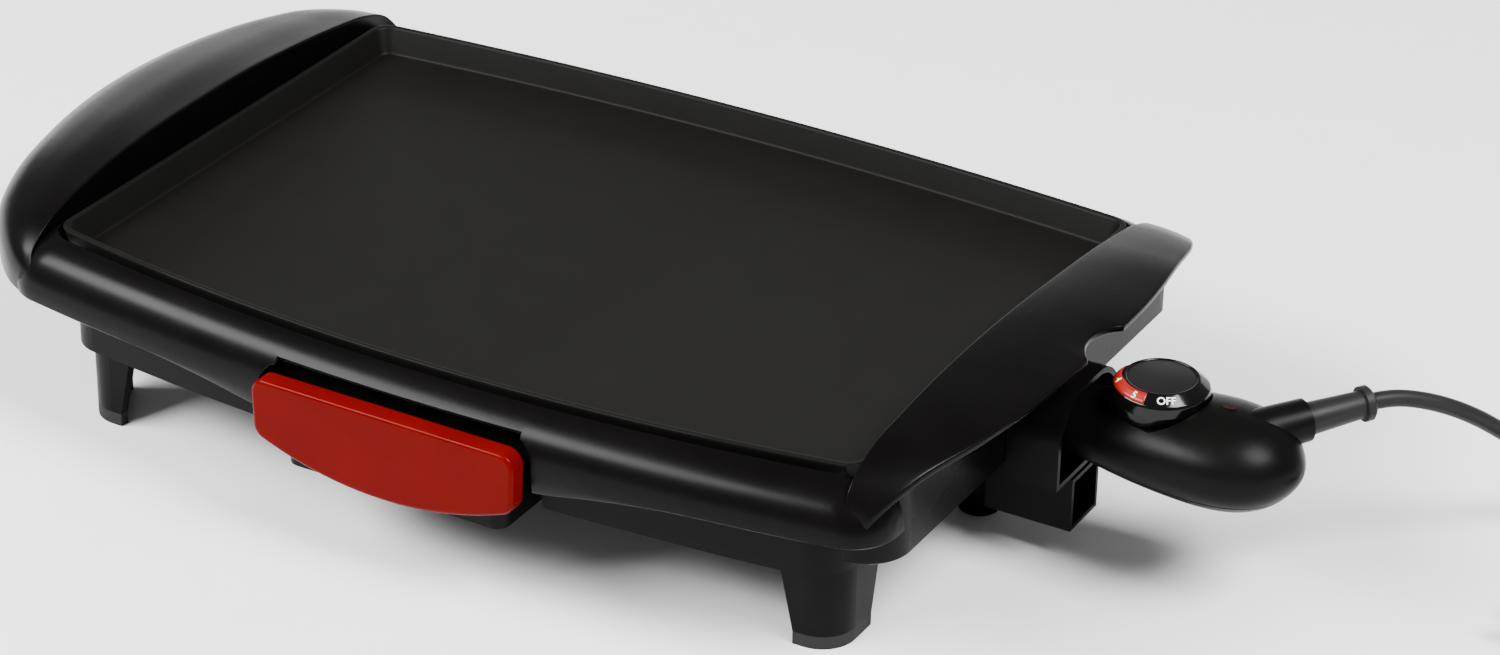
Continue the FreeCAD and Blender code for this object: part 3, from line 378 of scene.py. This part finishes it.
def middle_stations():
    """Places along a long side, closer together round the ends of the drawer's opening."""
    places = set(np.linspace(-MIDDLE_HALF, MIDDLE_HALF, MIDDLE_POINTS))
    rounded = np.linspace(OPENING_HALF - OPENING_ROUND, OPENING_HALF - 0.5, ROUND_POINTS)
    for hand in (-1, 1):
        places |= {hand * x for x in rounded}
        places |= {hand * (OPENING_HALF + step) for step in (-0.3, -0.1, -0.01, 0.01)}
    return np.array(sorted(places, reverse=True))


ARC_MIDDLE = middle_stations()


def side_arc(side, bow, grow, radius):
    """A bowed long side: its radius and centre, and the centre of the corner that ends it."""
    half_x = PLATE_HALF_X + grow
    big = (half_x ** 2 + bow ** 2) / (2.0 * bow)
    centre_y = side * (PLATE_HALF_Y + grow + bow - big)
    round_x = half_x - radius
    round_y = centre_y + side * math.sqrt((big - radius) ** 2 - round_x ** 2)
    return SideArc(big, centre_y, round_x, round_y, math.atan2(round_x, abs(round_y - centre_y)))


def rim_path(grow, radius, start, end):
    """The plate's outline grown outwards, open at the right, from the front right to the rear."""
    half_x = PLATE_HALF_X + grow
    arcs = {-1: side_arc(-1, FRONT_BOW, grow, radius), 1: side_arc(1, REAR_BOW, grow, radius)}

    def bend(side, hand, forward):
        arc = arcs[side]
        turns = np.linspace(math.pi / 2, arc.lean, BEND_POINTS)
        return [(hand * (arc.round_x + radius * math.sin(t)),
                 arc.round_y + side * radius * math.cos(t))
                for t in (turns if forward else turns[::-1])]

    def long_side(side, hand):
        arc = arcs[side]
        outer_part = np.linspace(arc.big * math.sin(arc.lean), ARC_MIDDLE[0], OUTER_POINTS)[1:-1]
        across = np.concatenate([outer_part, ARC_MIDDLE, -outer_part[::-1]])
        return [(hand * x, arc.centre_y + side * math.sqrt(arc.big ** 2 - x ** 2))
                for x in across]

    left = np.linspace(arcs[-1].round_y, arcs[1].round_y, LEFT_POINTS)[1:-1]
    return ([(half_x, start)] + bend(-1, 1, True) + long_side(-1, 1) + bend(-1, -1, False)
            + [(-half_x, y) for y in left]
            + bend(1, -1, True) + long_side(1, -1) + bend(1, 1, False) + [(half_x, end)])


# ---------------------------------------------------------------- housing

WALL = 2.5
# How far each row of the band stands outside the plate's outline, its height, its corner radius.
SKIRT_ROWS = [                           # from the inner lip outwards and down
    (4.1, 83.0, 11.0), (4.0, 88.6, 11.0), (4.2, 90.1, 11.2), (4.7, 90.75, 12.0),
    (5.6, 90.75, 13.5), (7.0, 90.2, 15.5), (8.6, 89.3, 17.0), (11.0, 87.9, 18.5),
    (13.5, 86.0, 20.0), (15.7, 83.6, 21.0), (17.5, 81.0, 22.0), (18.9, 78.0, 22.0),
    (19.9, 75.0, 22.0), (20.6, 71.5, 22.0), (20.8, 69.0, 22.0), (20.6, 66.0, 22.0),
    (19.6, 57.5, 22.0)]
INNER_ROWS = [                           # the inner face, upwards
    (18.0, 57.5, 19.8), (18.2, 69.0, 19.6), (17.4, 75.0, 19.4), (14.9, 81.0, 18.0),
    (11.0, 84.8, 15.0), (7.0, 86.4, 13.0)]
SKIRT_END_FRONT, SKIRT_END_REAR = -122.0, 127.0
FRONT_EDGE = [                           # x, height of the band's lower edge
    (-240.0, 65.5), (-170.0, 65.5), (-125.0, 64.9), (-95.0, 62.0), (-73.0, 58.6), (0.0, 58.5),
    (73.0, 58.6), (95.0, 62.3), (125.0, 65.6), (170.0, 66.5), (240.0, 66.8)]
REAR_EDGE = 65.5
EDGE_LIFT = 0.7                          # height of the rounding at the lower edge
EDGE_FLAT = (0.25, 0.75)                 # shares of the wall between which that edge is flat
EDGE_POINTS = 120

HANDLE_STATIONS = [                      # y, crest x, crest z, outer x
    (-145.5, -204.0, 79.0, -210.0), (-139.5, -207.0, 85.5, -221.5),
    (-129.0, -207.6, 92.5, -234.5), (-112.0, -208.0, 98.2, -249.0),
    (-88.0, -208.4, 102.7, -261.0), (-52.0, -209.0, 105.9, -271.5),
    (-12.0, -209.6, 106.5, -279.0), (30.0, -210.0, 105.8, -280.5),
    (68.0, -209.4, 103.5, -277.0), (100.0, -208.6, 100.6, -269.0),
    (124.0, -208.0, 97.0, -258.0), (137.0, -207.6, 92.5, -247.0),
    (144.0, -206.0, 86.0, -231.0), (148.0, -204.0, 78.5, -211.0)]
HANDLE_LOW, HANDLE_WALL_LOW = 66.0, 79.0
HANDLE_WALL_LEAST = 5.0                  # least height of the inner wall
HANDLE_EDGE_ROUND = 0.7
HANDLE_THIN = 0.2                        # the wall's share of a narrow section
HANDLE_CREST_WALL = 1.1                  # how much thicker the wall is at the top
HANDLE_SECTIONS, DOME_POINTS = 110, 30
DOME = [                                 # shares of the handle's width and height
    (1.0, 1.0), (0.55, 0.93), (0.22, 0.78), (0.05, 0.57), (0.0, 0.30), (0.03, 0.0)]

WING_STATIONS = [                        # y, crest z, outer x, outer z
    (-144.0, 80.0, 209.0, 70.0), (-138.5, 91.0, 217.3, 83.0), (-122.0, 100.3, 227.0, 94.0),
    (-92.0, 104.7, 239.0, 100.0), (-45.0, 107.2, 246.5, 102.2), (3.0, 106.4, 247.8, 102.4),
    (50.0, 103.2, 246.6, 101.3), (95.0, 98.7, 240.0, 98.0), (128.0, 92.6, 232.0, 91.0),
    (143.0, 86.0, 222.0, 83.0), (147.0, 81.0, 214.0, 75.0)]
WING_CREST_X = 203.6
WING_THICKNESS = 3.0
WING_WALL_LOW, WING_WALL_LEAST = 82.0, 8.0   # lower edge of the inner wall, its least height
WING_CREST_DEPTH = 4.0                   # thickness under the crest
WING_SECTIONS, WING_POINTS = 140, 12
BITE_SECTIONS, BITE_EVERY = 1400, 3      # finer sections along the bite, and which are kept
WING_BULGE, WING_BULGE_WIDTH = 0.9, 25.0     # the bulge, and the width from which it is full
SCALLOP_X, SCALLOP_Y, SCALLOP_RADIUS = 240.8, 5.0, 25.0

SIDE_WALL_X, SIDE_LOW = 218.0, 50.0
SIDE_FRONT_X, SIDE_FRONT_Y, SIDE_RADIUS = 198.5, -131.0, 20.0
SIDE_REAR_X, SIDE_REAR_Y, SIDE_REAR_RADIUS = 204.0, 131.0, 5.0
SIDE_RIM = 0.6                           # bevel at the wall's lower edge
SIDE_ROOF_GAP = 1.2                      # how far the wall's top stays under the wing's face
PIN_WINDOW = ((210.0, 226.0), (-16.0, 22.0), (56.0, 73.0))

BOSS_X, BOSS_RADIUS, BOSS_OUT, BOSS_HEIGHTS = 110.0, 4.0, 9.5, (72.6, 86.0)


def lower_edge(x, edge_x, edge_z):
    """How low the band reaches at the front, with the opening for the drawer in it."""
    if abs(x) >= OPENING_HALF:
        return float(np.interp(x, edge_x, edge_z))
    over = max(0.0, abs(x) - (OPENING_HALF - OPENING_ROUND))
    return OPENING_TOP - OPENING_ROUND + math.sqrt(OPENING_ROUND ** 2 - over ** 2)


def trimmed(points, low):
    """The points of one face of the band, those under its lower edge moved up to it."""
    order = sorted(points, key=lambda point: point[2])
    heights = [point[2] for point in order]
    x, y = (float(np.interp(low, heights, [point[axis] for point in order])) for axis in (0, 1))
    return [point if point[2] > low else (x, y, low) for point in points], (x, y)


def skirt():
    """The band round the plate, with its rolled lip and the edge that dips beside the drawer."""
    edge_x, edge_z = zip(*[tuple(point) for point in cubic(FRONT_EDGE, EDGE_POINTS)])
    outer, inner = ([rim_path(grow, radius, SKIRT_END_FRONT, SKIRT_END_REAR)
                     for grow, _, radius in rows] for rows in (SKIRT_ROWS, INNER_ROWS))
    loops = []
    for index, (x, y) in enumerate(outer[0]):
        low = lower_edge(x, edge_x, edge_z) if y < 0 else REAR_EDGE
        out, out_end = trimmed([(*path[index], row[1]) for path, row in zip(outer, SKIRT_ROWS)],
                               low + EDGE_LIFT)
        back, back_end = trimmed([(*path[index], row[1]) for path, row in zip(inner, INNER_ROWS)],
                                 low + EDGE_LIFT)
        under = [tuple(a + (b - a) * share for a, b in zip(out_end, back_end)) + (low,)
                 for share in EDGE_FLAT]
        loops.append(out + under + back)
    return tube("skirt", loops)


def dome(crest_x, crest_z, outer_x, inset):
    """The handle's section from its crest outwards and down."""
    side, width = outer_x + inset, crest_x - outer_x - 2 * inset
    rise = crest_z - inset * HANDLE_CREST_WALL - HANDLE_LOW
    return [tuple(point) for point in cubic(
        [(side + across * width, HANDLE_LOW + up * rise) for across, up in DOME],
        DOME_POINTS)]


def handle():
    """The left-hand handle: an upright inner wall, a rounded crest and a broad domed top."""
    loops = []
    for y, crest_x, crest_z, outer_x in cubic(HANDLE_STATIONS, HANDLE_SECTIONS):
        inset = min(WALL, (crest_x - outer_x) * HANDLE_THIN)
        over = dome(crest_x, crest_z, outer_x, 0.0)
        under = dome(crest_x, crest_z, outer_x, inset)
        wall_low = min(HANDLE_WALL_LOW, crest_z - HANDLE_WALL_LEAST)
        loop = [(crest_x, wall_low)] + corner((crest_x, wall_low), over[0], over[1]) + over[1:-1]
        loop += corner(over[-2], over[-1], under[-1], HANDLE_EDGE_ROUND)
        loop += corner(over[-1], under[-1], under[-2], HANDLE_EDGE_ROUND)
        loop += under[-2:0:-1] + [(crest_x - inset, wall_low)]
        loops.append([(x, y, z) for x, z in loop])
    return tube("handle", loops)


def scalloped(x, y):
    """The wing's outer edge with the round bite in it."""
    across = y - SCALLOP_Y
    if abs(across) >= SCALLOP_RADIUS:
        return x
    return min(x, SCALLOP_X + SCALLOP_RADIUS - math.sqrt(SCALLOP_RADIUS ** 2 - across ** 2))


def wing_rows():
    """The wing's sections from front to rear, closer together along the bite."""
    rows = [row for row in cubic(WING_STATIONS, WING_SECTIONS)
            if abs(row[0] - SCALLOP_Y) >= SCALLOP_RADIUS]
    near = [row for row in cubic(WING_STATIONS, BITE_SECTIONS)
            if abs(row[0] - SCALLOP_Y) < SCALLOP_RADIUS]
    return sorted((tuple(row) for row in rows + near[::BITE_EVERY]), key=lambda row: row[0])


def wing():
    """The right-hand wing: a curved sheet from its crest to its outer edge, over an inner wall."""
    loops = []
    for y, crest_z, outer_x, outer_z in wing_rows():
        edge_x = scalloped(outer_x, y)
        share = (edge_x - WING_CREST_X) / (outer_x - WING_CREST_X)
        edge_z = crest_z + (outer_z - crest_z) * share
        bulge = WING_BULGE * min(1.0, (outer_x - WING_CREST_X) / WING_BULGE_WIDTH)
        top = [(WING_CREST_X + (edge_x - WING_CREST_X) * t,
                crest_z + (edge_z - crest_z) * t + bulge * 4 * t * (1 - t))
               for t in np.linspace(0, 1, WING_POINTS)]
        low = min(WING_WALL_LOW, crest_z - WING_WALL_LEAST)
        under = (edge_x, edge_z - WING_THICKNESS)
        inner = (WING_CREST_X + WALL, crest_z - WING_CREST_DEPTH)
        loop = [(WING_CREST_X, low)] + corner((WING_CREST_X, low), top[0], top[1]) + top[1:-1]
        loop += corner(top[-2], top[-1], under) + corner(top[-1], under, inner)
        loop += [inner, (WING_CREST_X + WALL, low)]
        loops.append([(x, y, z) for x, z in loop])
    return tube("wing", loops)


def side_path():
    """The side wall's outer face from above: x, y and the way out, from front to rear."""
    turn_y = SIDE_FRONT_Y + SIDE_RADIUS
    path = [(SIDE_FRONT_X, SIDE_FRONT_Y, 0.0, -1.0)]
    for t in np.linspace(0, math.pi / 2, 16):
        path.append((SIDE_WALL_X - SIDE_RADIUS + SIDE_RADIUS * math.sin(t),
                     turn_y - SIDE_RADIUS * math.cos(t), math.sin(t), -math.cos(t)))
    path += [(SIDE_WALL_X, y, 1.0, 0.0) for y in np.linspace(turn_y, SIDE_REAR_Y, 60)[1:]]
    for t in np.linspace(0, math.pi / 2, 8)[1:]:
        path.append((SIDE_WALL_X - SIDE_REAR_RADIUS + SIDE_REAR_RADIUS * math.cos(t),
                     SIDE_REAR_Y + SIDE_REAR_RADIUS * math.sin(t), math.cos(t), math.sin(t)))
    return path + [(SIDE_REAR_X, SIDE_REAR_Y + SIDE_REAR_RADIUS, 0.0, 1.0)]


def side_wall():
    """The upright wall under the wing, rounded at its front corner."""
    ys, crests, outer_xs, outer_zs = zip(*wing_rows())

    def roof(x, y):
        crest_z, outer_x, outer_z = (float(np.interp(y, ys, values))
                                     for values in (crests, outer_xs, outer_zs))
        share = min(1.0, max(0.0, (x - WING_CREST_X) / (outer_x - WING_CREST_X)))
        return crest_z + (outer_z - crest_z) * share - SIDE_ROOF_GAP

    loops = []
    for x, y, out_x, out_y in side_path():
        back_x, back_y = x - out_x * WALL, y - out_y * WALL
        top = min(roof(x, y), roof(back_x, back_y))
        loops.append([
            (x, y, top), (x, y, SIDE_LOW + SIDE_RIM),
            (x - out_x * SIDE_RIM, y - out_y * SIDE_RIM, SIDE_LOW),
            (back_x + out_x * SIDE_RIM, back_y + out_y * SIDE_RIM, SIDE_LOW),
            (back_x, back_y, SIDE_LOW + SIDE_RIM), (back_x, back_y, top)])
    return tube("side_wall", loops)


def block(name, xs, ys, zs):
    """A box in mm, for cutting openings."""
    ring = [(xs[0], zs[0]), (xs[1], zs[0]), (xs[1], zs[1]), (xs[0], zs[1])]
    return tube(name, [[(x, y, z) for x, z in ring] for y in ys])


def boss(x, side):
    """A screw boss inside the band."""
    bow = FRONT_BOW if side < 0 else REAR_BOW
    big = (PLATE_HALF_X ** 2 + bow ** 2) / (2.0 * bow)
    y = side * (PLATE_HALF_Y + bow - big + math.sqrt(big ** 2 - x ** 2) + BOSS_OUT)
    return column("boss", circle(x, y, BOSS_RADIUS, 24), BOSS_HEIGHTS)


band, upright = skirt(), side_wall()
cut(upright, block("pin_window", *PIN_WINDOW))
bosses = [boss(x, side) for x in (-BOSS_X, BOSS_X) for side in (-1, 1)]
housing = join([band, handle(), wing(), upright] + bosses, "housing_shell", "gloss_black")
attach(housing, "griddle")
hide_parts("upper_housing")


# ---------------------------------------------------------------- cooking plate

PLATE_ROWS = [                           # as SKIRT_ROWS, from the floor over the rim to below
    (-5.6, 81.2, 4.6), (-4.9, 81.25, 4.8), (-4.4, 81.5, 5.0), (-4.1, 81.95, 5.1),
    (-3.85, 82.6, 5.2), (-0.45, 92.6, 7.7), (-0.2, 93.15, 7.9), (0.1, 93.5, 8.1),
    (0.5, 93.68, 8.4), (0.9, 93.7, 8.7), (1.6, 93.7, 9.3), (2.0, 93.65, 9.6),
    (2.3, 93.45, 9.8), (2.42, 93.1, 9.9), (2.35, 92.6, 9.9), (-1.3, 78.2, 7.1),
    (-1.6, 77.5, 7.0), (-2.2, 77.2, 6.8)]
PLATE_SIDE_END = 60.0
DRAIN_HALF, DRAIN_RADIUS, DRAIN_Y, DRAIN_HEIGHTS = 11.5, 3.5, -133.0, (72.0, 86.0)
POST_X, POST_Y, POST_RADIUS, POST_HEIGHTS = 150.0, 95.0, 6.0, (72.2, 77.3)


def cooking_plate():
    """The plate, with rounded rim and floor edges, its grease slot and its four posts."""
    paths = [rim_path(grow, radius, -PLATE_SIDE_END, PLATE_SIDE_END)
             for grow, _, radius in PLATE_ROWS]
    plate = tube("plate", [[(x, y, row[1]) for x, y in path]
                           for path, row in zip(paths, PLATE_ROWS)])
    outline = [(hand * DRAIN_HALF + DRAIN_RADIUS * math.sin(t),
                DRAIN_Y + DRAIN_RADIUS * math.cos(t))
               for hand, start in ((1, 0.0), (-1, math.pi))
               for t in np.linspace(start, start + math.pi, 12)]
    cut(plate, column("slot", outline, DRAIN_HEIGHTS))
    posts = [column("post", circle(x, y, POST_RADIUS, 32), POST_HEIGHTS)
             for x in (-POST_X, POST_X) for y in (-POST_Y, POST_Y)]
    return join([plate] + posts, "plate_detail", "nonstick_plate")


plate = cooking_plate()
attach(plate, "griddle")
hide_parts("cooking_plate")


# ---------------------------------------------------------------- knob and dial

KNOB_CENTRE = (275.0, 3.0)
KNOB_LOW, KNOB_TOP = 79.6, 95.0
KNOB_ROUND = 0.45
FACE_RADIUS = 15.9
BEVEL_RADIUS, BEVEL_LOW = 20.4, 91.4     # the printed bevel's outer edge
KNOB_PROFILE = [                         # radius, height, from the bore round to the top
    (3.05, KNOB_LOW + 9.0), (3.05, KNOB_LOW), (19.5, KNOB_LOW), (21.2, KNOB_LOW + 6.5),
    (20.9, KNOB_LOW + 10.6), (BEVEL_RADIUS, BEVEL_LOW), (FACE_RADIUS, KNOB_TOP),
    (FACE_RADIUS - 0.9, KNOB_TOP), (FACE_RADIUS - 1.1, KNOB_TOP - 0.35), (0.01, KNOB_TOP - 0.35)]
DISC_PROFILE = [(0.01, KNOB_TOP - 0.3), (13.9, KNOB_TOP - 0.3), (14.3, KNOB_TOP - 0.4)]
SPIN_STEPS = 96
OFF_DIRECTION = math.radians(31.0)       # the way OFF faces at rest, from -Y towards +X
NUMERAL_START, NUMERAL_STEP = math.radians(90.0), math.radians(45.0)
OFF_SIZE, NUMERAL_SIZE = 4.6, 4.4
NUMERAL_EXTRUDE, NUMERAL_OFFSET, NUMERAL_LIFT = 0.00007, 0.00006, 0.06
RED_START, RED_END = math.radians(-182.0), math.radians(-28.0)
RED_STEPS, RED_LANES = 60, 4
RED_THIN, RED_WIDER, RED_GAP = 0.5, 3.5, 0.25    # width at its start, growth, gap to the edge
RED_GROWTH = 1.5                         # how many times sooner it is full than at the end
RED_LIFT, RED_THICKNESS = 0.10, 0.00008


def spun(name, profile, finish):
    """A ring of profile points (radius, height) turned about the knob's axis."""
    vertices, faces = [], []
    for step in range(SPIN_STEPS):
        angle = 2 * math.pi * step / SPIN_STEPS
        for radius, height in profile:
            vertices.append(mm(KNOB_CENTRE[0] + radius * math.cos(angle),
                               KNOB_CENTRE[1] + radius * math.sin(angle), height))
    count = len(profile)
    for step in range(SPIN_STEPS):
        after = (step + 1) % SPIN_STEPS
        for index in range(count - 1):
            faces.append((step * count + index, after * count + index,
                          after * count + index + 1, step * count + index + 1))
    return new_piece(name, vertices, faces, finish)


def round_corners(profile, radius):
    """The same profile with each inner corner replaced by a short curve."""
    result = [profile[0]]
    for before, here, after in zip(profile, profile[1:], profile[2:]):
        result += corner(before, here, after, radius, steps=4, most=0.45)
    return result + [profile[-1]]


def dial_point(angle, radius, lift=0.0):
    """A point over the bevel or the face of the knob; the angle runs from OFF, anticlockwise."""
    share = min(1.0, max(0.0, (radius - FACE_RADIUS) / (BEVEL_RADIUS - FACE_RADIUS)))
    height = KNOB_TOP + (BEVEL_LOW - KNOB_TOP) * share + lift
    turn = OFF_DIRECTION + angle
    return mm(KNOB_CENTRE[0] + radius * math.sin(turn), KNOB_CENTRE[1] - radius * math.cos(turn),
              height)


def red_scale():
    """The red band on the bevel, which widens along the scale."""
    vertices, faces = [], []
    for step in range(RED_STEPS + 1):
        share = step / RED_STEPS
        angle = RED_START + (RED_END - RED_START) * share
        width = RED_THIN + RED_WIDER * min(1.0, share * RED_GROWTH)
        for lane in range(RED_LANES):
            radius = BEVEL_RADIUS - RED_GAP - width * lane / (RED_LANES - 1)
            vertices.append(dial_point(angle, radius, RED_LIFT))
    for step in range(RED_STEPS):
        for lane in range(RED_LANES - 1):
            first = step * RED_LANES + lane
            after = first + RED_LANES
            faces.append((first, after, after + 1, first + 1))
    scale = new_piece("red_scale", vertices, faces, "dial_red")
    thick = scale.modifiers.new("thickness", "SOLIDIFY")
    thick.thickness = RED_THICKNESS
    thick.offset = -1.0
    return scale


def numeral(text, angle, size):
    """A raised white character that lies on the bevel and reads from outside."""
    data = bpy.data.curves.new("numeral_" + text, "FONT")
    data.body = text
    data.size = size / 1000.0
    data.align_x = "CENTER"
    data.align_y = "CENTER"
    data.extrude = NUMERAL_EXTRUDE
    data.offset = NUMERAL_OFFSET
    letters = bpy.data.objects.new("numeral_" + text, data)
    bpy.context.scene.collection.objects.link(letters)
    middle = (FACE_RADIUS + BEVEL_RADIUS) / 2 + 0.1
    up = (dial_point(angle, FACE_RADIUS + 0.01) - dial_point(angle, BEVEL_RADIUS)).normalized()
    turn = OFF_DIRECTION + angle
    across = Vector((math.cos(turn), math.sin(turn), 0.0))
    normal = across.cross(up).normalized()
    place = Matrix((across, up, normal)).transposed().to_4x4()
    letters.matrix_world = Matrix.Translation(dial_point(angle, middle, NUMERAL_LIFT)) @ place
    bpy.context.view_layer.update()
    for other in bpy.context.selected_objects:
        other.select_set(False)
    letters.select_set(True)
    bpy.context.view_layer.objects.active = letters
    bpy.ops.object.convert(target="MESH")
    letters = bpy.context.view_layer.objects.active
    letters.data.materials.clear()
    letters.data.materials.append(MATERIALS["dial_white"])
    return letters


knob = spun("control_knob_detail", round_corners(KNOB_PROFILE, KNOB_ROUND), "gloss_black_knob")
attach(knob, "knob")
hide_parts("control_knob")

face = spun("dial_face", DISC_PROFILE, "dial_print")
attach(face, "knob")
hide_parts("dial_disc")

marks = [red_scale(), numeral("OFF", 0.0, OFF_SIZE)]
for count in range(1, 6):
    marks.append(numeral(str(count), NUMERAL_START + count * NUMERAL_STEP, NUMERAL_SIZE))
for mark in marks:
    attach(mark, "knob")


# ---------------------------------------------------------------- floor and light

FLOOR_SIZE = 12.0
SOFTBOXES = [                            # name, place, aim, size (m), power (W)
    ("rear_strip", (-0.9, 2.6, 0.5), (0, 0, 0.1), (4.2, 0.8), 17),
    ("front_left_box", (-1.35, -1.45, 1.72), (0, 0, 0.1), (2.3, 0.75), 205),
    ("right_key", (1.9, -0.3, 2.5), (0, 0, 0), (1.3, 1.3), 225)]
WORLD_STRENGTH = 0.35


def make_floor():
    bpy.ops.mesh.primitive_plane_add(size=FLOOR_SIZE, location=(0, 0, 0))
    floor = bpy.context.object
    floor.name = "floor"
    floor.data.materials.append(MATERIALS["floor_finish"])


def softbox(name, place, aim, size, power):
    data = bpy.data.lights.new(name, "AREA")
    data.shape = "RECTANGLE"
    data.size, data.size_y = size
    data.energy = power
    lamp = bpy.data.objects.new(name, data)
    bpy.context.scene.collection.objects.link(lamp)
    lamp.location = place
    lamp.rotation_euler = (Vector(aim) - Vector(place)).to_track_quat("-Z", "Y").to_euler()


def make_world():
    world = bpy.data.worlds.new("world")
    bpy.context.scene.world = world
    world.use_nodes = True
    background = world.node_tree.nodes["Background"]
    background.inputs["Color"].default_value = (1, 1, 1, 1)
    background.inputs["Strength"].default_value = WORLD_STRENGTH


make_floor()
for values in SOFTBOXES:
    softbox(*values)
make_world()
